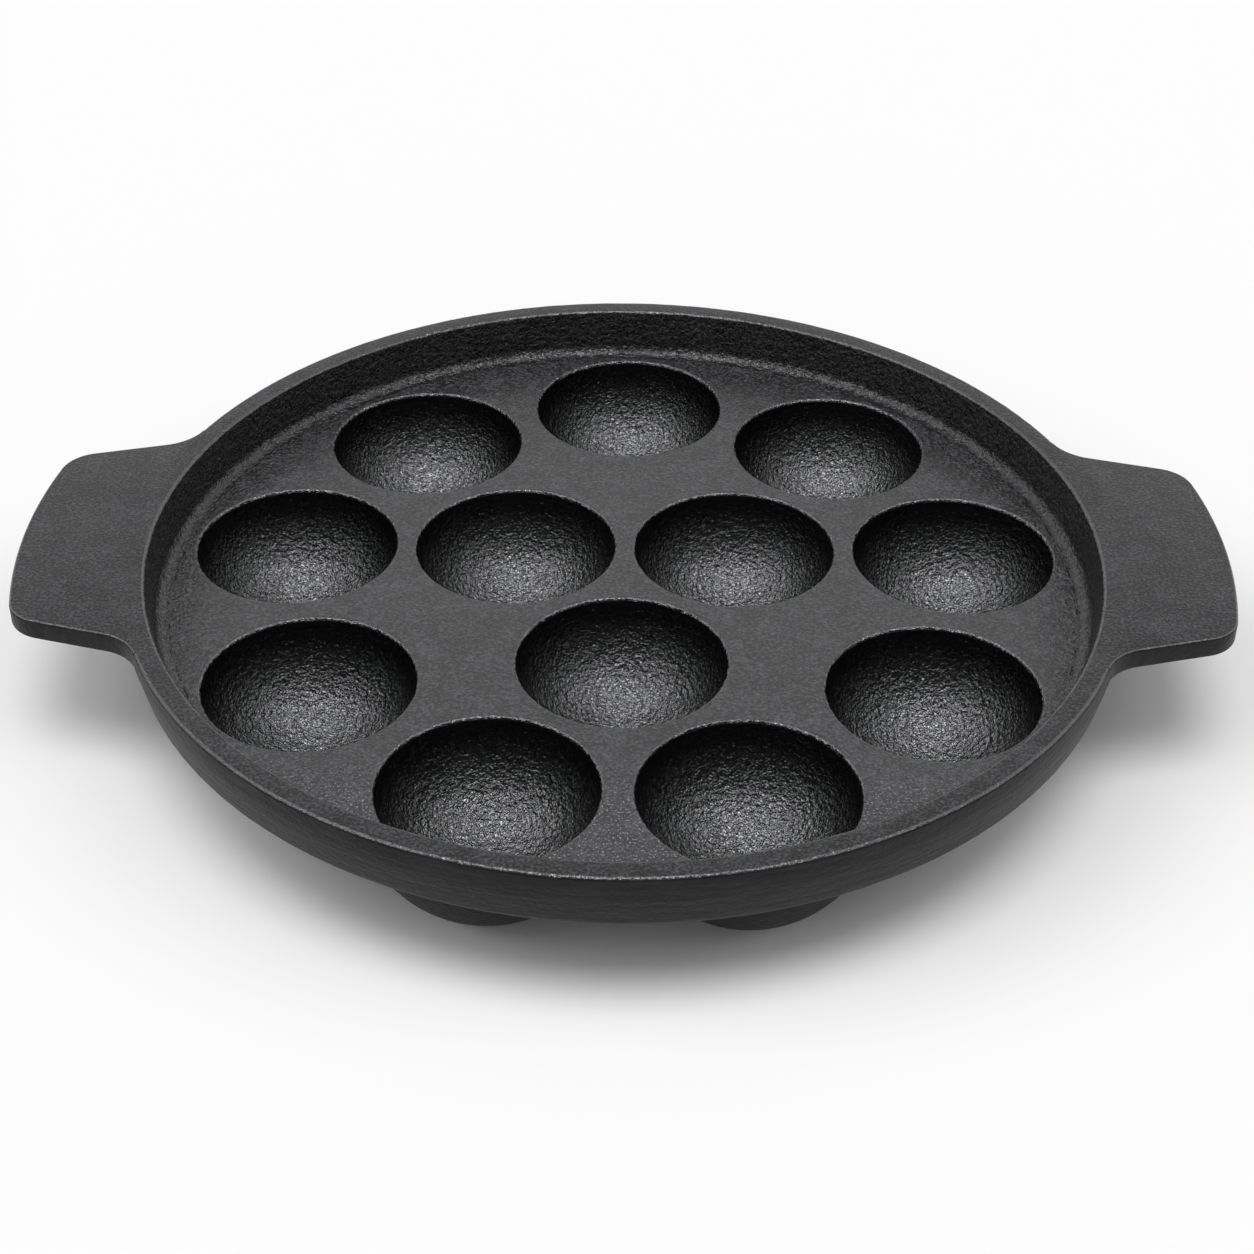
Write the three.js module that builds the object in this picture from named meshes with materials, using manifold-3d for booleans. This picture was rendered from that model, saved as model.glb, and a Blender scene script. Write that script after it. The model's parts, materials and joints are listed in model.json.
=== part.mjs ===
// Paniyaram pan, cast in iron: a shallow round tray whose flat deck is sunk into hemispherical cups,
// with a low wall round it and two flat lug handles that leave the wall level with its top.
// Millimetres, +Z up. The origin lies under the middle of the pan, in the plane of the cups' feet.

import * as THREE from 'three';
import { mergeVertices } from 'three/addons/utils/BufferGeometryUtils.js';
import Module from 'manifold-3d';

const wasm = await Module();
wasm.setup();

// Cups: an inner ring, and an outer ring with the same web of iron between neighbouring mouths
const cupMouthRadius = 25.2;
const cupLipRound = 0.8;
const cupWall = 4.4;
const cupFootRadius = 8;
const cupWeb = 3.4;
const innerCupCount = 3;
const outerCupsPerInner = 3;

// Deck: the floor of the tray
const deckThickness = 3.4;
const deckLedge = 3.9;
const deckEdgeRound = 3.4;

// Rim wall
const trayDepth = 12.2;
const rimInnerDraft = 1.7;
const rimLandWidth = 5.5;
const rimOuterDraft = 2.2;
const rimFootFillet = 4.3;
const rimEdgeRound = 0.8;

// Handles
const handleReach = 25;
const handleThickness = 5.2;
const handleRootHalfWidth = 39.8;
const handleTipHalfWidth = 33.2;
const handleCornerRadius = 9.5;
const handleRootFillet = 12;
const handleEdgeRound = 0.8;

// Gap left where one section of the casting is cut to the shape of the next
const seamGap = 0.3;

// Facets round a cup, round the rim, and along the arcs of the profiles
const cupFacets = 24;
const rimFacets = 72;
const cavityArcFacets = 6;
const shellArcFacets = 5;
const filletFacets = 4;
const sectorFacets = 12;
const edgeRoundFacets = 2;

// Rings of cups
const cupPitch = 2 * cupMouthRadius + cupWeb;
const outerCupCount = innerCupCount * outerCupsPerInner;
const outerHalfStep = Math.PI / outerCupCount;
const innerRingRadius = cupPitch / (2 * Math.sin(Math.PI / innerCupCount));
const besideInnerRing = innerRingRadius * Math.cos(outerHalfStep)
  + Math.sqrt(cupPitch ** 2 - (innerRingRadius * Math.sin(outerHalfStep)) ** 2);
const besideEachOther = cupPitch / (2 * Math.sin(outerHalfStep));
const outerRingRadius = Math.max(besideInnerRing, besideEachOther);

// Heights, from the feet up
const cavityRadius = cupMouthRadius - cupLipRound;
const shellRadius = cavityRadius + cupWall;
const cupCentreZ = Math.sqrt(shellRadius ** 2 - cupFootRadius ** 2);
const deckTopZ = cupCentreZ + cupLipRound;
const deckUnderZ = deckTopZ - deckThickness;
const rimTopZ = deckTopZ + trayDepth;
const handleUnderZ = rimTopZ - handleThickness;

// Radii of the tray, from the cups out
const wallFootRadius = outerRingRadius + cupMouthRadius + deckLedge;
const wallTopRadius = wallFootRadius + rimInnerDraft;
const rimRadius = wallTopRadius + rimLandWidth;
const rimBaseRadius = rimRadius - rimOuterDraft;
const handleTipRadius = rimRadius + handleReach;

// Plan of the handle towards +X: tapered sides, a round at each corner of its tip, and a fillet that
// leaves each side and touches the rim at the root angle
const sideRun = new THREE.Vector2(handleReach, handleTipHalfWidth - handleRootHalfWidth).normalize();
const sideFacing = new THREE.Vector2(-sideRun.y, sideRun.x);
const sideOffset = sideFacing.dot(new THREE.Vector2(rimRadius, handleRootHalfWidth));
const cornerCentre = besideSide(sideOffset - handleCornerRadius, handleTipRadius - handleCornerRadius);
const filletCentre = besideSide(sideOffset + handleRootFillet, rimRadius + handleRootFillet);
const handleRootAngle = filletCentre.angle();

const QUARTER = Math.PI / 2;

// Vertices closer than this are one vertex
const weldDistance = 1e-4;

// The point at a given distance from the axis that lies a given offset out along the side's facing
function besideSide(offset, distance) {
  return sideFacing.clone().multiplyScalar(offset)
    .addScaledVector(sideRun, Math.sqrt(distance ** 2 - offset ** 2));
}

function castIron() {
  return new THREE.MeshStandardMaterial({ color: 0x48484a, roughness: 0.62, metalness: 0.35 });
}

function arc(centre, radius, from, to, facets) {
  return Array.from({ length: facets + 1 }, (_, i) => {
    const angle = from + (to - from) * i / facets;
    return new THREE.Vector2(Math.cos(angle), Math.sin(angle)).multiplyScalar(radius).add(centre);
  });
}

// The arc that replaces a profile's corner and touches both of the lines that meet there
function roundedCorner(before, corner, after, radius, facets) {
  const back = before.clone().sub(corner).normalize();
  const ahead = after.clone().sub(corner).normalize();
  const halfAngle = Math.acos(back.dot(ahead)) / 2;
  const bisector = back.clone().add(ahead).normalize();
  const centre = corner.clone().addScaledVector(bisector, radius / Math.sin(halfAngle));
  const touch = radius / Math.tan(halfAngle);
  const start = corner.clone().addScaledVector(back, touch).sub(centre);
  const end = corner.clone().addScaledVector(ahead, touch).sub(centre);
  const turn = Math.atan2(start.cross(end), start.dot(end));
  return arc(centre, radius, start.angle(), start.angle() + turn, facets);
}

// A solid of revolution about +Z: x of the profile is the radius, y the height
function turned(profile, facets) {
  return new THREE.LatheGeometry(profile, facets).rotateX(QUARTER);
}

function toSolid(geometry) {
  const bare = geometry.clone();
  bare.deleteAttribute('normal');
  bare.deleteAttribute('uv');
  const merged = mergeVertices(bare, weldDistance);
  const corners = [];
  const { array: index } = merged.index;
  for (let i = 0; i < index.length; i += 3) {
    const [a, b, c] = index.slice(i, i + 3);
    if (a !== b && b !== c && c !== a) corners.push(a, b, c);
  }
  return new wasm.Manifold(new wasm.Mesh({
    numProp: 3,
    vertProperties: Float32Array.from(merged.attributes.position.array),
    triVerts: Uint32Array.from(corners),
  }));
}

function toGeometry(solid) {
  const mesh = solid.getMesh();
  const geometry = new THREE.BufferGeometry();
  geometry.setAttribute('position', new THREE.BufferAttribute(mesh.vertProperties, mesh.numProp));
  geometry.setIndex(new THREE.BufferAttribute(mesh.triVerts, 1));
  geometry.computeVertexNormals();
  return geometry;
}

function named(name, geometry) {
  const mesh = new THREE.Mesh(geometry, castIron());
  mesh.name = name;
  return mesh;
}

// Cup centres, in plan. Each inner cup faces the web between two outer cups.
function ring(count, radius, firstAngle) {
  return Array.from({ length: count }, (_, i) => {
    const angle = firstAngle + 2 * Math.PI * i / count;
    return new THREE.Vector2(Math.cos(angle), Math.sin(angle)).multiplyScalar(radius);
  });
}
const innerCentres = ring(innerCupCount, innerRingRadius, -QUARTER);
const outerCentres = ring(outerCupCount, outerRingRadius, -QUARTER - outerHalfStep);
const cupCentres = [...innerCentres, ...outerCentres];

// The hollow of one cup: a hemisphere that opens to the deck through a rounded lip
function cavity() {
  const lipCentre = new THREE.Vector2(cupMouthRadius, cupCentreZ);
  const above = deckTopZ + trayDepth;
  return turned([
    new THREE.Vector2(0, cupCentreZ - cavityRadius),
    ...arc(new THREE.Vector2(0, cupCentreZ), cavityRadius, -QUARTER, 0, cavityArcFacets).slice(1),
    ...arc(lipCentre, cupLipRound, Math.PI, QUARTER, edgeRoundFacets).slice(1),
    new THREE.Vector2(cupMouthRadius, above),
    new THREE.Vector2(0, above),
  ], cupFacets);
}

// One cup's shell below the deck: spherical, flat on its foot, and parted from each neighbour
// half way along the line between their centres
function cup(name, centre) {
  const topDrop = cupCentreZ - deckUnderZ;
  const topAngle = -Math.asin(topDrop / shellRadius);
  const footAngle = -Math.acos(cupFootRadius / shellRadius);
  let shell = toSolid(turned([
    new THREE.Vector2(0, 0),
    ...arc(new THREE.Vector2(0, cupCentreZ), shellRadius, footAngle, topAngle, shellArcFacets),
    new THREE.Vector2(0, deckUnderZ),
  ], cupFacets)).subtract(toSolid(cavity()));
  for (const other of cupCentres) {
    const toOther = other.clone().sub(centre);
    const parting = (toOther.length() - seamGap) / 2;
    if (other === centre || parting >= shellRadius) continue;
    const beyond = new THREE.BoxGeometry(shellRadius, 4 * shellRadius, 4 * shellRadius);
    beyond.translate(parting + shellRadius / 2, 0, 0).rotateZ(toOther.angle());
    shell = shell.subtract(toSolid(beyond));
  }
  const mesh = named(name, toGeometry(shell));
  mesh.position.set(centre.x, centre.y, 0);
  return mesh;
}

// Flat plate with the mouths of the cups through it and a rounded lower edge
function deckPlate() {
  const lowerEdge = new THREE.Vector2(rimBaseRadius, deckUnderZ);
  const upperEdge = new THREE.Vector2(rimBaseRadius, deckTopZ);
  const underCentre = new THREE.Vector2(0, deckUnderZ);
  const edgeRound = Math.min(deckEdgeRound, deckThickness);
  let plate = toSolid(turned([
    underCentre,
    ...roundedCorner(underCentre, lowerEdge, upperEdge, edgeRound, filletFacets),
    upperEdge,
    new THREE.Vector2(0, deckTopZ),
  ], rimFacets));
  for (const { x, y } of cupCentres) {
    plate = plate.subtract(toSolid(cavity().translate(x, y, 0)));
  }
  return named('deck_plate', toGeometry(plate));
}

// Wall that stands on the edge of the deck. Its land on top is flat, a fillet runs round its inner foot,
// and outside it is straight down to the handles' underside and drafted below that.
function rimWall() {
  const outerBase = new THREE.Vector2(rimBaseRadius, deckTopZ);
  const bandFoot = new THREE.Vector2(rimRadius, handleUnderZ);
  const outerTop = new THREE.Vector2(rimRadius, rimTopZ);
  const innerTop = new THREE.Vector2(wallTopRadius, rimTopZ);
  const innerFoot = new THREE.Vector2(wallFootRadius, deckTopZ);
  const deckCentre = new THREE.Vector2(0, deckTopZ);
  return toSolid(turned([
    outerBase,
    bandFoot,
    ...roundedCorner(bandFoot, outerTop, innerTop, rimEdgeRound, edgeRoundFacets),
    ...roundedCorner(outerTop, innerTop, innerFoot, rimEdgeRound, edgeRoundFacets),
    ...roundedCorner(innerTop, innerFoot, deckCentre, rimFootFillet, filletFacets),
    outerBase,
  ], rimFacets));
}

// The stretch of the wall between two angles, less half a seam at either end
function rimSection(name, wall, from, to) {
  const halfSeam = seamGap / (2 * rimRadius);
  const start = from + halfSeam;
  const end = to - halfSeam;
  const sector = new THREE.Shape();
  sector.moveTo(0, 0);
  sector.lineTo(handleTipRadius * Math.cos(start), handleTipRadius * Math.sin(start));
  sector.absarc(0, 0, handleTipRadius, start, end, false);
  sector.closePath();
  const wedge = new THREE.ExtrudeGeometry(sector, {
    depth: 2 * rimTopZ,
    bevelEnabled: false,
    curveSegments: sectorFacets,
  });
  return named(name, toGeometry(wall.intersect(toSolid(wedge))));
}

// Flat lug towards +X. Its tip is concentric with the rim and its root is cut to the rim's upright band.
function handleGeometry() {
  const sideAngle = sideFacing.angle();
  const tipAngle = cornerCentre.angle();
  const embed = rimRadius - rimLandWidth;
  const rootX = embed * Math.cos(handleRootAngle);
  const rootY = embed * Math.sin(handleRootAngle);
  const { x: cornerX, y: cornerY } = cornerCentre;
  const { x: filletX, y: filletY } = filletCentre;
  const filletStart = Math.PI - handleRootAngle;
  const filletEnd = Math.PI - sideAngle;

  const outline = new THREE.Shape();
  outline.moveTo(rootX, rootY);
  outline.lineTo(rootX, -rootY);
  outline.absarc(filletX, -filletY, handleRootFillet, filletStart, filletEnd, true);
  outline.absarc(cornerX, -cornerY, handleCornerRadius, -sideAngle, -tipAngle, false);
  outline.absarc(0, 0, handleTipRadius, -tipAngle, tipAngle, false);
  outline.absarc(cornerX, cornerY, handleCornerRadius, tipAngle, sideAngle, false);
  outline.absarc(filletX, filletY, handleRootFillet, -filletEnd, -filletStart, true);
  outline.closePath();

  const plate = new THREE.ExtrudeGeometry(outline, {
    depth: handleThickness - 2 * handleEdgeRound,
    bevelThickness: handleEdgeRound,
    bevelSize: handleEdgeRound,
    bevelOffset: -handleEdgeRound,
    bevelSegments: edgeRoundFacets,
    curveSegments: filletFacets,
  }).translate(0, 0, handleUnderZ + handleEdgeRound);

  const rootRadius = rimRadius + seamGap;
  const highZ = rimTopZ + handleThickness;
  const lowZ = handleUnderZ - handleThickness;
  const rimBody = turned([
    new THREE.Vector2(0, lowZ),
    new THREE.Vector2(rootRadius, lowZ),
    new THREE.Vector2(rootRadius, highZ),
    new THREE.Vector2(0, highZ),
  ], rimFacets);
  return toGeometry(toSolid(plate).subtract(toSolid(rimBody)));
}

const pan = new THREE.Group();
pan.add(deckPlate());

const wall = rimWall();
const backAngle = Math.PI - handleRootAngle;
const leftAngle = Math.PI + handleRootAngle;
const frontAngle = 2 * Math.PI - handleRootAngle;
pan.add(rimSection('rim_right', wall, -handleRootAngle, handleRootAngle));
pan.add(rimSection('rim_back', wall, handleRootAngle, backAngle));
pan.add(rimSection('rim_left', wall, backAngle, leftAngle));
pan.add(rimSection('rim_front', wall, leftAngle, frontAngle));

const handleRight = named('handle_right', handleGeometry());
const handleLeft = named('handle_left', handleGeometry());
handleLeft.rotation.z = Math.PI;
pan.add(handleRight, handleLeft);

innerCentres.forEach((centre, i) => pan.add(cup(`cup_inner_${i + 1}`, centre)));
outerCentres.forEach((centre, i) => pan.add(cup(`cup_outer_${i + 1}`, centre)));

export default pan;
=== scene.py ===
import json
import math
import random

import bmesh
import bpy
from mathutils import Matrix, Vector


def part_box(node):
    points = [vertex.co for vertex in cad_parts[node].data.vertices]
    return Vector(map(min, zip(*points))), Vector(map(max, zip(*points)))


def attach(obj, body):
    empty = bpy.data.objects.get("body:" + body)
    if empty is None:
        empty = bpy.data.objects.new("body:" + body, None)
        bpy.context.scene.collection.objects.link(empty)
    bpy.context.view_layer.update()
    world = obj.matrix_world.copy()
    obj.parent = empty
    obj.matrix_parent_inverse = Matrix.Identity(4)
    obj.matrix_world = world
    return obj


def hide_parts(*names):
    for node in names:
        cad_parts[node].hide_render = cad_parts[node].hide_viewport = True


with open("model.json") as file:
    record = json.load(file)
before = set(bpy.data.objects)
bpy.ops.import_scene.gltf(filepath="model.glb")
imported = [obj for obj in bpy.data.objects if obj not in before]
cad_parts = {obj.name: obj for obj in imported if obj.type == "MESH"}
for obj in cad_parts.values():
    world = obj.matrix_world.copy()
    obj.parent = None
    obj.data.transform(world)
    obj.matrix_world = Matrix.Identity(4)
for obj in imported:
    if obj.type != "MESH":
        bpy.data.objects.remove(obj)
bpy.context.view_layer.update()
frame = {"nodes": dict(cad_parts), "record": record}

# Deck
# The flat floor of the tray: a thin plate of grey iron with a round mouth for each cup through it.
# It is poured in one with the rest of the pan, and its top keeps the fine grain of the sand mould.
deck_low, deck_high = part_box("deck_plate")
rim_low, rim_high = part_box("rim_front")
deck_under = deck_low.z
deck_top = deck_high.z
deck_thickness = deck_top - deck_under
rim_radius = -rim_low.y
rim_land = 0.0055
rim_inner_draft = 0.0017
rim_foot_fillet = 0.0030
wall_top_radius = rim_radius - rim_land
wall_foot_radius = wall_top_radius - rim_inner_draft
deck_radius = wall_foot_radius - rim_foot_fillet
cup_mouth_radius = 0.0252
cup_collar = 0.0003
cup_collar_radius = cup_mouth_radius + cup_collar
mouth_cutter_depth = 4 * deck_thickness
tray_steps = 720
cup_steps = 256
weld = 2e-7

hollows = {opening["name"]: opening["box_m"] for opening in frame["record"]["physics"]["openings"]}
cup_centres = {}
for node in sorted(frame["nodes"]):
    if node.startswith("cup_"):
        low, high = hollows[node + "_hollow"]
        cup_centres[node] = Vector(((low[0] + high[0]) / 2, (low[1] + high[1]) / 2, 0))


def deselect_all():
    bpy.ops.object.select_all(action="DESELECT")


def pick(piece):
    """Makes the piece the only one that operators act on."""
    deselect_all()
    bpy.context.view_layer.objects.active = piece
    piece.select_set(True)


def apply_modifiers(piece):
    pick(piece)
    for modifier in list(piece.modifiers):
        bpy.ops.object.modifier_apply(modifier=modifier.name)


def settle(piece):
    """Puts the piece's place into its mesh, so that its object sits at the origin."""
    pick(piece)
    bpy.ops.object.transform_apply(location=True, rotation=True, scale=True)


deselect_all()
bpy.ops.mesh.primitive_cylinder_add(
    vertices=tray_steps,
    radius=deck_radius,
    depth=deck_thickness,
    location=(0, 0, (deck_top + deck_under) / 2),
)
deck = bpy.context.object
deck.name = "deck"
settle(deck)

deselect_all()
mouths = []
for centre in cup_centres.values():
    bpy.ops.mesh.primitive_cylinder_add(
        vertices=cup_steps,
        radius=cup_collar_radius,
        depth=mouth_cutter_depth,
        location=(centre.x, centre.y, deck_top),
    )
    mouths.append(bpy.context.object)
for mouth in mouths:
    mouth.select_set(True)
bpy.ops.object.join()
mouth_cutter = bpy.context.object
settle(mouth_cutter)
drill = deck.modifiers.new("mouths", "BOOLEAN")
drill.operation = "DIFFERENCE"
drill.solver = "EXACT"
drill.object = mouth_cutter
apply_modifiers(deck)
bpy.data.objects.remove(mouth_cutter)


def add_node(tree, kind, inputs=None, **settings):
    """Adds a shader node. An input is a value, or another node's output to join to it."""
    node = tree.nodes.new(kind)
    for name, value in settings.items():
        setattr(node, name, value)
    for socket, value in (inputs or {}).items():
        if isinstance(value, bpy.types.NodeSocket):
            tree.links.new(value, node.inputs[socket])
        else:
            node.inputs[socket].default_value = value
    return node


def maths(tree, operation, first, second=0.0, third=0.0):
    inputs = {0: first, 1: second, 2: third}
    return add_node(tree, "ShaderNodeMath", inputs, operation=operation).outputs[0]


def ramp_between(tree, value, low, high):
    """0 at low and 1 at high, with a smooth step between; low may be the larger."""
    inputs = {"Value": value, "From Min": low, "From Max": high}
    node = add_node(tree, "ShaderNodeMapRange", inputs, interpolation_type="SMOOTHSTEP")
    return node.outputs["Result"]


def noise(tree, place, feature, detail=2.0, roughness=0.5, distortion=0.0):
    """Noise about 0, with features of the given size in metres."""
    inputs = {
        "Vector": place,
        "Scale": 1 / feature,
        "Detail": detail,
        "Roughness": roughness,
        "Distortion": distortion,
    }
    value = add_node(tree, "ShaderNodeTexNoise", inputs).outputs["Fac"]
    return maths(tree, "SUBTRACT", value, 0.5)


cool_oxide = 0.93
cool_glaze = 0.975
millimetre = 0.001


def new_iron(name, ior):
    """A bare iron shader: dark oxide under a thin glaze of baked oil, both slightly cool."""
    material = bpy.data.materials.new(name)
    material.use_nodes = True
    tree = material.node_tree
    shader = tree.nodes["Principled BSDF"]
    shader.inputs["IOR"].default_value = ior
    shader.inputs["Specular Tint"].default_value = (cool_glaze, cool_glaze, 1, 1)
    place = add_node(tree, "ShaderNodeTexCoord").outputs["Object"]
    return material, tree, shader, place


def finish_iron(tree, shader, tone, height, roughness):
    """Joins up the shader. The tone is the oxide's grey, the height is in millimetres."""
    warm = maths(tree, "MULTIPLY", tone, cool_oxide)
    colour = add_node(tree, "ShaderNodeCombineColor", {"Red": warm, "Green": warm, "Blue": tone})
    bump = add_node(tree, "ShaderNodeBump", {"Strength": 1.0, "Distance": millimetre, "Height": height})
    tree.links.new(colour.outputs["Color"], shader.inputs["Base Color"])
    tree.links.new(roughness, shader.inputs["Roughness"])
    tree.links.new(bump.outputs["Normal"], shader.inputs["Normal"])


def satin_iron(name, ior):
    """What faces up: a fine even grain, coarser by the wall, with painted glints as bright flecks of colour
    towards the front.
    """
    grey, darkest, dullness = 0.020, 0.002, 0.42
    grain_size, grain_relief, grain_tone = 0.0007, 0.16, 0.22
    lump_size, lump_relief, lump_tone = 0.0009, 0.45, 0.12
    mottle_size, mottle_tone, mottle_dullness = 0.007, 0.090, 0.15
    pit_size, pit_depth, pit_hollows = 0.0012, 0.20, (-0.29, -0.35)
    glint_size, glint_tone, glint_peaks = 0.0005, 0.24, (0.135, 0.195)
    coarse_run, wall_blur, glint_front = 0.016, 0.001, (-0.060, -0.085)

    material, tree, shader, place = new_iron(name, ior)
    spot = add_node(tree, "ShaderNodeSeparateXYZ", {0: place})
    radius = maths(tree, "SQRT", maths(
        tree, "ADD",
        maths(tree, "POWER", spot.outputs["X"], 2.0),
        maths(tree, "POWER", spot.outputs["Y"], 2.0),
    ))
    in_tray = ramp_between(tree, radius, wall_top_radius + wall_blur, wall_top_radius - wall_blur)
    by_wall = ramp_between(tree, radius, deck_radius - coarse_run, deck_radius)
    glints_in_front = ramp_between(tree, spot.outputs["Y"], *glint_front)
    grain = noise(tree, place, grain_size)
    lumps = noise(tree, place, lump_size, detail=1.0, distortion=0.6)
    lumps = maths(tree, "MULTIPLY", lumps, maths(tree, "MULTIPLY", by_wall, in_tray))
    mottle = noise(tree, place, mottle_size, detail=4.0, roughness=0.6)
    pits = ramp_between(tree, noise(tree, place, pit_size, detail=0.0), *pit_hollows)
    # Painted glints: bright flecks of colour, only towards the front of the deck, stand in for light
    # glinting off the grain.
    painted_glints = ramp_between(tree, noise(tree, place, glint_size, detail=0.5), *glint_peaks)
    painted_glints = maths(tree, "MULTIPLY", painted_glints, maths(tree, "MULTIPLY", glints_in_front, in_tray))

    height = maths(tree, "MULTIPLY", grain, grain_relief)
    height = maths(tree, "MULTIPLY_ADD", pits, -pit_depth, height)
    height = maths(tree, "MULTIPLY_ADD", lumps, lump_relief, height)
    tone = maths(tree, "MULTIPLY_ADD", grain, grain_tone, grey)
    tone = maths(tree, "MULTIPLY_ADD", mottle, mottle_tone, tone)
    tone = maths(tree, "MULTIPLY_ADD", lumps, lump_tone, tone)
    tone = maths(tree, "MAXIMUM", tone, darkest)
    # The painted glints are added to the colour here, as bright specks of light painted on.
    tone = maths(tree, "MULTIPLY_ADD", painted_glints, glint_tone, tone)
    roughness = maths(tree, "MULTIPLY_ADD", mottle, mottle_dullness, dullness)
    finish_iron(tree, shader, tone, height, roughness)
    return material


def mould_skin(name, ior, grey, stretch):
    """The dull skin outside and underneath, with streaks where the pattern was drawn through the sand."""
    darkest, dullness = 0.002, 0.48
    streak_size, streak_relief, streak_dullness = 0.0025, 0.25, 0.15
    streak_tone = 3 * grey
    lump_size, lump_relief = 0.0012, 0.16

    material, tree, shader, place = new_iron(name, ior)
    along = add_node(tree, "ShaderNodeMapping", {"Vector": place, "Scale": stretch}).outputs["Vector"]
    streaks = noise(tree, along, streak_size, detail=3.0)
    lumps = noise(tree, place, lump_size, detail=1.5, distortion=0.4)
    height = maths(tree, "MULTIPLY", lumps, lump_relief)
    height = maths(tree, "MULTIPLY_ADD", streaks, streak_relief, height)
    tone = maths(tree, "MULTIPLY_ADD", streaks, streak_tone, grey)
    tone = maths(tree, "MAXIMUM", tone, darkest)
    roughness = maths(tree, "MULTIPLY_ADD", streaks, streak_dullness, dullness)
    finish_iron(tree, shader, tone, height, roughness)
    return material


def dress(piece, finishes, choose):
    """Gives each face of the piece one of the finishes, chosen by its middle and its normal."""
    slots = {}
    for finish in finishes:
        slots[finish.name] = len(slots)
        piece.data.materials.append(finish)
    for face in piece.data.polygons:
        face.material_index = slots[choose(face.center, face.normal).name]


deck_satin = satin_iron("deck_satin", ior=1.72)
under_skin = mould_skin("under_skin", ior=1.18, grey=0.011, stretch=(1, 1, 1))


def by_facing(middle, normal):
    return deck_satin if normal.z > 0 else under_skin


dress(deck, (deck_satin, under_skin), by_facing)
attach(deck, "root")
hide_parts("deck_plate")

# Rim
# The low wall round the deck, with a flat land on top, a fillet at its inner foot and a rounded outer edge
# underneath. It is the same iron and the same pour, turned on the pattern and drafted to leave the sand.
handle_low, handle_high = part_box("handle_right")
rim_top = rim_high.z
rim_base_radius = deck_high.x
land_middle_radius = (wall_top_radius + rim_radius) / 2
band_foot = handle_low.z
rim_edge_round = 0.0010
band_round = 0.020
base_round = 0.0034
round_steps = 8
smooth_angle = math.radians(35)


def arc(centre, radius, start, end, steps):
    """Corners along an arc in degrees, as (across, along, no round)."""
    corners = []
    for step in range(steps + 1):
        angle = math.radians(start + (end - start) * step / steps)
        corners.append((centre[0] + radius * math.cos(angle), centre[1] + radius * math.sin(angle), 0))
    return corners


def select_where(piece, wanted):
    """In edit mode, selects the vertices that are wanted, with the edges and faces between them."""
    bpy.ops.mesh.select_mode(type="VERT")
    bpy.ops.mesh.select_all(action="DESELECT")
    mesh = bmesh.from_edit_mesh(piece.data)
    for vertex in mesh.verts:
        if wanted(vertex.co):
            vertex.select_set(True)
    mesh.select_flush(True)
    bmesh.update_edit_mesh(piece.data)


def turn(name, corners, steps):
    """Turns a closed section about +Z. Each corner is (radius, height, round)."""
    deselect_all()
    bpy.ops.mesh.primitive_circle_add(vertices=len(corners), fill_type="NGON")
    piece = bpy.context.object
    piece.name = name
    points = [Vector((radius, 0, height)) for radius, height, _ in corners]
    for vertex, point in zip(piece.data.vertices, points):
        vertex.co = point
    bpy.ops.object.mode_set(mode="EDIT")
    for i, (point, corner) in enumerate(zip(points, corners)):
        if corner[2] == 0:
            continue
        back = points[i - 1] - point
        ahead = points[(i + 1) % len(points)] - point
        touch = corner[2] / math.tan(back.angle(ahead) / 2)
        select_where(piece, lambda co: (co - point).length < weld)
        bpy.ops.mesh.bevel(offset=touch, segments=round_steps, profile=0.5, affect="VERTICES")
    bpy.ops.mesh.select_all(action="SELECT")
    bpy.ops.mesh.delete(type="ONLY_FACE")
    bpy.ops.mesh.select_all(action="SELECT")
    bpy.ops.mesh.spin(steps=steps, angle=math.tau, center=(0, 0, 0), axis=(0, 0, 1))
    bpy.ops.mesh.select_all(action="SELECT")
    bpy.ops.mesh.remove_doubles(threshold=weld)
    bpy.ops.mesh.dissolve_degenerate(threshold=weld)
    bpy.ops.mesh.delete_loose(use_verts=True, use_edges=True, use_faces=False)
    bpy.ops.mesh.select_all(action="SELECT")
    bpy.ops.mesh.normals_make_consistent(inside=False)
    bpy.ops.object.mode_set(mode="OBJECT")
    bpy.ops.object.shade_smooth_by_angle(angle=smooth_angle)
    return piece


rim = turn("rim", [
    (deck_radius, deck_top, 0),
    (wall_foot_radius, deck_top, rim_foot_fillet),
    (wall_top_radius, rim_top, rim_edge_round),
    (rim_radius, rim_top, rim_edge_round),
    (rim_radius, band_foot, band_round),
    (rim_base_radius, deck_under, base_round),
    (deck_radius, deck_under, 0),
], tray_steps)

rim_sand_size = 0.0035
rim_sand_depth = 0.00005
seam_flat = 0.0003
seam_run = 0.002


def share_sand(piece, share):
    """Notes at each point of the mesh how much of the sand's unevenness it takes, from 0 to 1."""
    group = piece.vertex_groups.new(name="sand")
    for vertex in piece.data.vertices:
        group.add([vertex.index], share(vertex.co), "REPLACE")


def press_sand(piece, feature, depth):
    """Presses the sand's unevenness into the mesh, to the depth at most either way."""
    sand = bpy.data.textures.new(piece.name + "_sand", "CLOUDS")
    sand.noise_scale = feature
    sand.noise_depth = 1
    press = piece.modifiers.new("sand", "DISPLACE")
    press.texture = sand
    press.texture_coords = "GLOBAL"
    press.vertex_group = "sand"
    press.strength = 2 * depth
    apply_modifiers(piece)
    piece.vertex_groups.clear()
    bpy.data.textures.remove(sand)


def off_the_deck(co):
    """None where the rim meets the deck, and all of it a little further out."""
    reach = math.hypot(co.x, co.y) - deck_radius - seam_flat
    return min(max(reach / seam_run, 0), 1)


share_sand(rim, off_the_deck)
press_sand(rim, rim_sand_size, rim_sand_depth)


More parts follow.
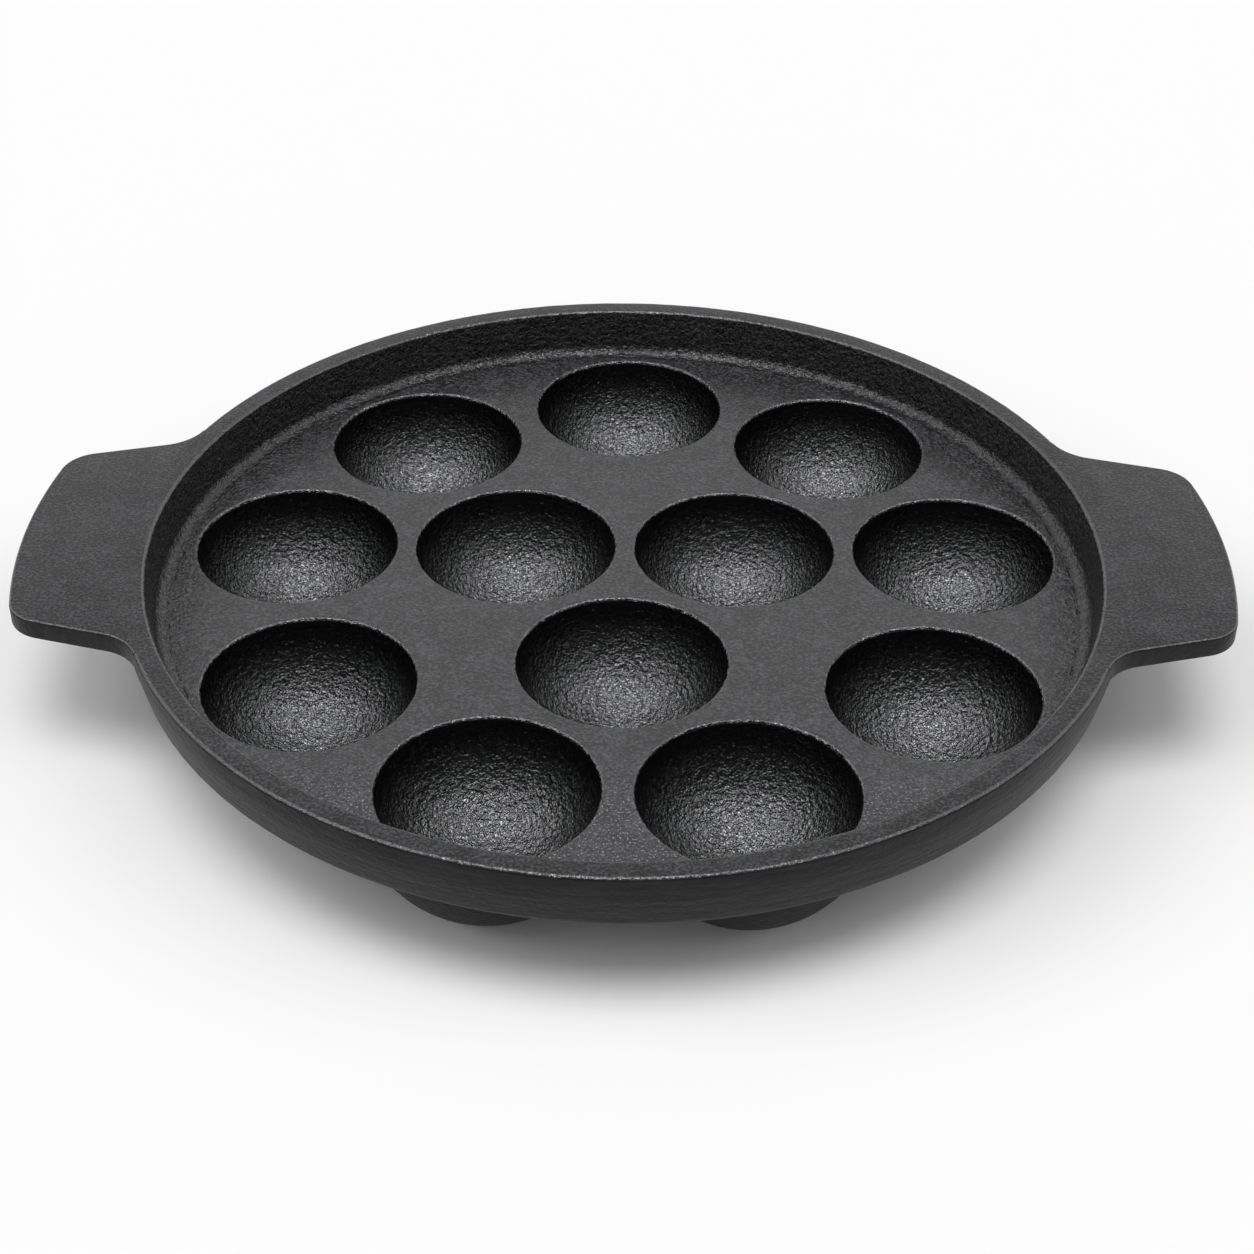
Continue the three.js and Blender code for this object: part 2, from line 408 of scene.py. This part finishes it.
def pebbled_iron(name, ior, pebble, relief, dust, dullness):
    """The pebbled skin that coarse sand leaves, under a film of oil, with a little dust on its peaks."""
    clump_size, clump_relief = 2.2 * pebble, 0.85 * relief
    peak_dust, least_dust = 5 * dust, 0.001
    mottle_size, mottle_dullness = 0.006, 0.10

    material, tree, shader, place = new_iron(name, ior)
    lumps = noise(tree, place, pebble, detail=1.0, distortion=0.6)
    clumps = noise(tree, place, clump_size, detail=0.0)
    mottle = noise(tree, place, mottle_size)
    height = maths(tree, "MULTIPLY", lumps, relief)
    height = maths(tree, "MULTIPLY_ADD", clumps, clump_relief, height)
    tone = maths(tree, "MULTIPLY_ADD", lumps, peak_dust, dust)
    tone = maths(tree, "MULTIPLY_ADD", mottle, dust, tone)
    tone = maths(tree, "MAXIMUM", tone, least_dust)
    roughness = maths(tree, "MULTIPLY_ADD", mottle, mottle_dullness, dullness)
    finish_iron(tree, shader, tone, height, roughness)
    return material


land_satin = satin_iron("land_satin", ior=1.48)
edge_grain = pebbled_iron("edge_grain", ior=2.0, pebble=0.00065, relief=0.22, dust=0.004, dullness=0.28)
fillet_grain = pebbled_iron("fillet_grain", ior=1.68, pebble=0.0008, relief=0.42, dust=0.012, dullness=0.26)
inner_wall_grain = pebbled_iron(
    "inner_wall_grain", ior=1.33, pebble=0.00065, relief=0.68, dust=0.016, dullness=0.26,
)
outer_wall_skin = mould_skin("outer_wall_skin", ior=1.28, grey=0.008, stretch=(0.25, 0.25, 1.5))
flat_facing = 0.97
edge_facing = 0.5
fillet_start = 0.2 * rim_foot_fillet
fillet_height = 0.75 * rim_foot_fillet


def by_side(middle, normal):
    """The land and its rubbed edges, the outside and underside, then the tray's side from its foot up."""
    reach = middle.xy.length
    if middle.z > band_foot and normal.z > edge_facing:
        return land_satin if normal.z > flat_facing else edge_grain
    if middle.z < deck_top - weld or reach > land_middle_radius:
        return outer_wall_skin
    if reach < deck_radius + fillet_start:
        return deck_satin
    return fillet_grain if middle.z < deck_top + fillet_height else inner_wall_grain


dress(rim, (land_satin, edge_grain, fillet_grain, inner_wall_grain, outer_wall_skin, deck_satin), by_side)
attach(rim, "root")
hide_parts("rim_front", "rim_right", "rim_back", "rim_left")

# Handles
# Two flat lugs that leave the rim level with its land, the same iron in the same pour, for a cloth to grip.
# Their sides taper to a rounded tip, and a wide fillet runs each side into the rim.
handle_tip_radius = handle_high.x
handle_reach = handle_tip_radius - rim_radius
handle_root_half_width = 0.0398
handle_tip_half_width = 0.0332
handle_corner_radius = 0.0095
handle_root_fillet = 0.012
handle_edge_round = 0.0007
handle_overlap = 0.0015
handle_proud = 0.00001
root_steps = 48
fillet_steps = 20
corner_steps = 20
tip_steps = 40
edge_steps = 5

side_run = Vector((handle_reach, handle_tip_half_width - handle_root_half_width)).normalized()
side_facing = Vector((-side_run.y, side_run.x))
side_offset = side_facing.dot(Vector((rim_radius, handle_root_half_width)))


def beside_side(offset, distance):
    """The point at a distance from the pan's axis whose offset along the side's facing is given."""
    return side_facing * offset + side_run * math.sqrt(distance ** 2 - offset ** 2)


def bearing(vector):
    return math.degrees(math.atan2(vector.y, vector.x))


corner_centre = beside_side(side_offset - handle_corner_radius, handle_tip_radius - handle_corner_radius)
fillet_centre = beside_side(side_offset + handle_root_fillet, rim_radius + handle_root_fillet)
root_angle = bearing(fillet_centre)
side_angle = bearing(side_facing)
tip_angle = bearing(corner_centre)
root_radius = rim_radius - handle_overlap
half_outline = arc((0, 0), root_radius, 0, root_angle, root_steps)
half_outline += arc(fillet_centre, handle_root_fillet, root_angle + 180, side_angle + 180, fillet_steps)
half_outline += arc(corner_centre, handle_corner_radius, side_angle, tip_angle, corner_steps)
half_outline += arc((0, 0), handle_tip_radius, tip_angle, 0, tip_steps)
other_half = [(x, -y, no_round) for x, y, no_round in reversed(half_outline[1:-1])]
handle_outline = half_outline + other_half

deselect_all()
bpy.ops.mesh.primitive_circle_add(vertices=len(handle_outline), fill_type="NGON")
right_handle = bpy.context.object
right_handle.name = "handle_right_lug"
for vertex, (x, y, _) in zip(right_handle.data.vertices, handle_outline):
    vertex.co = (x, y, band_foot)
bpy.ops.object.mode_set(mode="EDIT")
bpy.ops.mesh.select_all(action="SELECT")
lift = rim_top + handle_proud - band_foot
bpy.ops.mesh.extrude_region_move(TRANSFORM_OT_translate={"value": (0, 0, lift)})
bpy.ops.mesh.select_all(action="SELECT")
bpy.ops.mesh.remove_doubles(threshold=weld)
bpy.ops.mesh.normals_make_consistent(inside=False)
bpy.ops.mesh.select_mode(type="EDGE")
bpy.ops.mesh.select_all(action="DESELECT")
plate = bmesh.from_edit_mesh(right_handle.data)
for edge in plate.edges:
    first, second = (vertex.co for vertex in edge.verts)
    level = abs(first.z - second.z) < weld
    outside = min(first.xy.length, second.xy.length) > root_radius + weld
    edge.select_set(level and outside)
bmesh.update_edit_mesh(right_handle.data)
bpy.ops.mesh.bevel(
    offset=handle_edge_round,
    segments=edge_steps,
    profile=0.5,
    affect="EDGES",
    clamp_overlap=False,
)
bpy.ops.object.mode_set(mode="OBJECT")
bpy.ops.object.shade_smooth_by_angle(angle=smooth_angle)

pick(right_handle)
bpy.ops.object.duplicate(linked=False)
left_handle = bpy.context.object
left_handle.name = "handle_left_lug"
left_handle.rotation_euler.z = math.pi
settle(left_handle)

handle_side_skin = mould_skin("handle_side_skin", ior=1.30, grey=0.008, stretch=(1, 1, 0.4))


def by_edge(middle, normal):
    """The flat top, its rubbed edge, or the sides and the underside."""
    if normal.z > flat_facing:
        return land_satin
    return edge_grain if normal.z > edge_facing else handle_side_skin


for handle, node in ((right_handle, "handle_right"), (left_handle, "handle_left")):
    dress(handle, (land_satin, edge_grain, handle_side_skin), by_edge)
    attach(handle, "root")
    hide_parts(node)

# Cups
# Hemispheres that hold one dumpling each, hung under the deck with an even wall and a small flat foot.
# They are the same iron and pour; the coarser sand of their cores leaves the pebbled skin inside.
cup_lip_round = 0.0008
cup_wall = 0.0044
cup_foot_radius = 0.008
cup_flare = 0.002
flare_edge = 0.00005
bowl_radius = cup_mouth_radius - cup_lip_round
shell_radius = bowl_radius + cup_wall
cup_height = deck_top - cup_lip_round
shell_at_deck = math.sqrt(shell_radius ** 2 - (cup_height - deck_under) ** 2)
flare_radius = shell_at_deck + 1.5 * cup_flare
below_flare_angle = -12
shell_foot_angle = -math.degrees(math.acos(cup_foot_radius / shell_radius))
foot_rise = 2
bowl_arc_steps = 64
shell_arc_steps = 24

cup = turn("cup_model", [
    *arc((0, cup_height), bowl_radius, -90, 0, bowl_arc_steps),
    (bowl_radius, deck_top, cup_lip_round),
    (cup_collar_radius, deck_top, 0),
    (cup_collar_radius, deck_under, 0),
    (flare_radius, deck_under, 0),
    (flare_radius, deck_under - flare_edge, 0),
    (shell_at_deck, deck_under - flare_edge, cup_flare),
    *arc((0, cup_height), shell_radius, below_flare_angle, shell_foot_angle + foot_rise, shell_arc_steps),
    (cup_foot_radius, 0, 0),
    (0, 0, 0),
], cup_steps)

bowl_sand_size = 0.0024
bowl_sand_depth = 0.00006


def in_the_bowl(co):
    """All of it inside the bowl, less across the lip, and none outside."""
    reach = math.hypot(co.x, co.y)
    below = max(cup_height - co.z, 0)
    if math.hypot(reach, below) > cup_collar_radius:
        return 0
    return min((cup_collar_radius - reach) / cup_lip_round, 1)


share_sand(cup, in_the_bowl)

oiled_ior = 2.3
dry_ior = 1.36
oil_steps = 5
oil_full_depth = 0.72
oil_fade = 0.54
oil_scatter = 0.1
lip_facing = 0.94
outside_facing = 0.1
bowl_grains = []
for step in range(oil_steps + 1):
    bowl_grains.append(pebbled_iron(
        "bowl_grain_%d" % step,
        ior=oiled_ior + (dry_ior - oiled_ior) * step / oil_steps,
        pebble=0.00054,
        relief=0.37,
        dust=0.0012,
        dullness=0.13,
    ))


def oil_about(hub, chance):
    """A choice of finish for the cup whose bowl is centred on the hub."""

    def by_oil(middle, normal):
        """The outside, what is level with the deck, or the bowl: oiled lip and bottom, drier upper wall."""
        if (middle - hub).dot(normal) > 0 and normal.z < outside_facing:
            return under_skin
        if normal.z > lip_facing and middle.z > hub.z:
            return deck_satin
        sunk = (hub.z - middle.z) / bowl_radius
        dryness = (oil_full_depth - sunk) / oil_fade if sunk > 0 else 0
        dryness += chance.uniform(-oil_scatter, oil_scatter)
        return bowl_grains[round(oil_steps * min(max(dryness, 0), 1))]

    return by_oil


for node, centre in cup_centres.items():
    pick(cup)
    bpy.ops.object.duplicate(linked=False)
    bowl = bpy.context.object
    bowl.name = node + "_bowl"
    bowl.location = centre
    settle(bowl)
    bpy.ops.object.mode_set(mode="EDIT")
    for other in cup_centres.values():
        apart = other - centre
        if 0 < apart.length < 2 * shell_radius:
            bpy.ops.mesh.select_all(action="SELECT")
            bpy.ops.mesh.bisect(
                plane_co=centre + apart / 2,
                plane_no=apart.normalized(),
                use_fill=True,
                clear_outer=True,
                threshold=weld,
            )
    bpy.ops.object.mode_set(mode="OBJECT")
    press_sand(bowl, bowl_sand_size, bowl_sand_depth)
    hub = centre + Vector((0, 0, cup_height))
    dress(bowl, (*bowl_grains, under_skin, deck_satin), oil_about(hub, random.Random(node)))
    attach(bowl, "root")
    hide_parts(node)
bpy.data.objects.remove(cup)

# Floor
# A plain white floor, large enough to fill the view, that takes the pan's shadow.
# Its paint is matt, so it mirrors nothing.
floor_size = 8
floor_white = 0.97
deselect_all()
bpy.ops.mesh.primitive_plane_add(size=floor_size, location=(0, 0, 0))
floor = bpy.context.object
floor.name = "floor"
floor_paint = bpy.data.materials.new("white_floor")
floor_paint.use_nodes = True
floor_shader = floor_paint.node_tree.nodes["Principled BSDF"]
floor_shader.inputs["Base Color"].default_value = (floor_white, floor_white, floor_white, 1)
floor_shader.inputs["Roughness"].default_value = 1.0
floor_shader.inputs["Specular IOR Level"].default_value = 0.0
floor.data.materials.append(floor_paint)

# Light
# Three broad soft lights, one overhead and one to either side, all leaning towards the camera. The room
# adds a soft window in front as fill. What the iron mirrors is white behind, dimmer in front and overhead.
overhead_lean = math.radians(16)
overhead_width = math.radians(30)
overhead_level = 0.39
side_lean = math.radians(10)
side_width = math.radians(44)
side_spread = math.radians(40)
left_level = 0.19
right_level = 0.13
for lean, spread, width, level in (
    (side_lean, -side_spread, side_width, left_level),
    (overhead_lean, 0, overhead_width, overhead_level),
    (side_lean, side_spread, side_width, right_level),
):
    deselect_all()
    bpy.ops.object.light_add(type="SUN", rotation=(lean, spread, 0))
    sun = bpy.context.object
    sun.data.energy = level * math.pi / (math.cos(lean) * math.cos(spread))
    sun.data.angle = width

window_way = Vector((-0.25, -0.75, 0.80)).normalized()
window_edges = (0.30, 0.95)
window_level = 0.42
shade_level = 0.13
back_edges = (-0.3, 0.5)
back_white = 1.0
front_white = 0.16
ceiling_edges = (0.45, 1.0)
ceiling_loss = 0.6

room = bpy.data.worlds.new("room")
room.use_nodes = True
bpy.context.scene.world = room
tree = room.node_tree
way = add_node(tree, "ShaderNodeTexCoord").outputs["Generated"]
towards = add_node(tree, "ShaderNodeSeparateXYZ", {0: way})
behind = ramp_between(tree, towards.outputs["Y"], *back_edges)
ceiling = ramp_between(tree, towards.outputs["Z"], *ceiling_edges)
white = maths(tree, "MULTIPLY_ADD", behind, back_white - front_white, front_white)
white = maths(tree, "MULTIPLY", white, maths(tree, "MULTIPLY_ADD", ceiling, -ceiling_loss, 1.0))
facing = add_node(tree, "ShaderNodeVectorMath", {0: way, 1: window_way}, operation="DOT_PRODUCT")
window = ramp_between(tree, facing.outputs["Value"], *window_edges)
fill = maths(tree, "MULTIPLY_ADD", window, window_level, shade_level)
rays = add_node(tree, "ShaderNodeLightPath")
mirrored = maths(tree, "MAXIMUM", rays.outputs["Is Glossy Ray"], rays.outputs["Is Transmission Ray"])
strength = maths(tree, "MULTIPLY_ADD", mirrored, maths(tree, "SUBTRACT", white, fill), fill)
strength = maths(tree, "MAXIMUM", strength, rays.outputs["Is Camera Ray"])
tree.links.new(strength, tree.nodes["Background"].inputs["Strength"])
tree.nodes["Background"].inputs["Color"].default_value = (1, 1, 1, 1)

# Camera
# Stands in front of the pan and above it, where the photograph was taken from.
# Its place is in metres, its angles are in radians, and its lens and sensor are in millimetres.
camera_place = Vector((0.005184, -0.452264, 0.349124))
camera_yaw = -0.009608
camera_pitch = 0.636153
camera_roll = -0.009337
camera_lens = 65.95
camera_sensor = 36

ahead = Vector((
    math.sin(camera_yaw) * math.cos(camera_pitch),
    math.cos(camera_yaw) * math.cos(camera_pitch),
    -math.sin(camera_pitch),
))
level_right = Vector((math.cos(camera_yaw), -math.sin(camera_yaw), 0))
level_down = ahead.cross(level_right)
right = level_right * math.cos(camera_roll) + level_down * math.sin(camera_roll)
up = right.cross(ahead)
turned = Matrix((right, up, -ahead)).transposed()
deselect_all()
bpy.ops.object.camera_add(location=camera_place, rotation=turned.to_euler())
camera = bpy.context.object
camera.data.sensor_width = camera_sensor
camera.data.lens = camera_lens
bpy.context.scene.camera = camera
bpy.context.scene.view_settings.view_transform = "Standard"
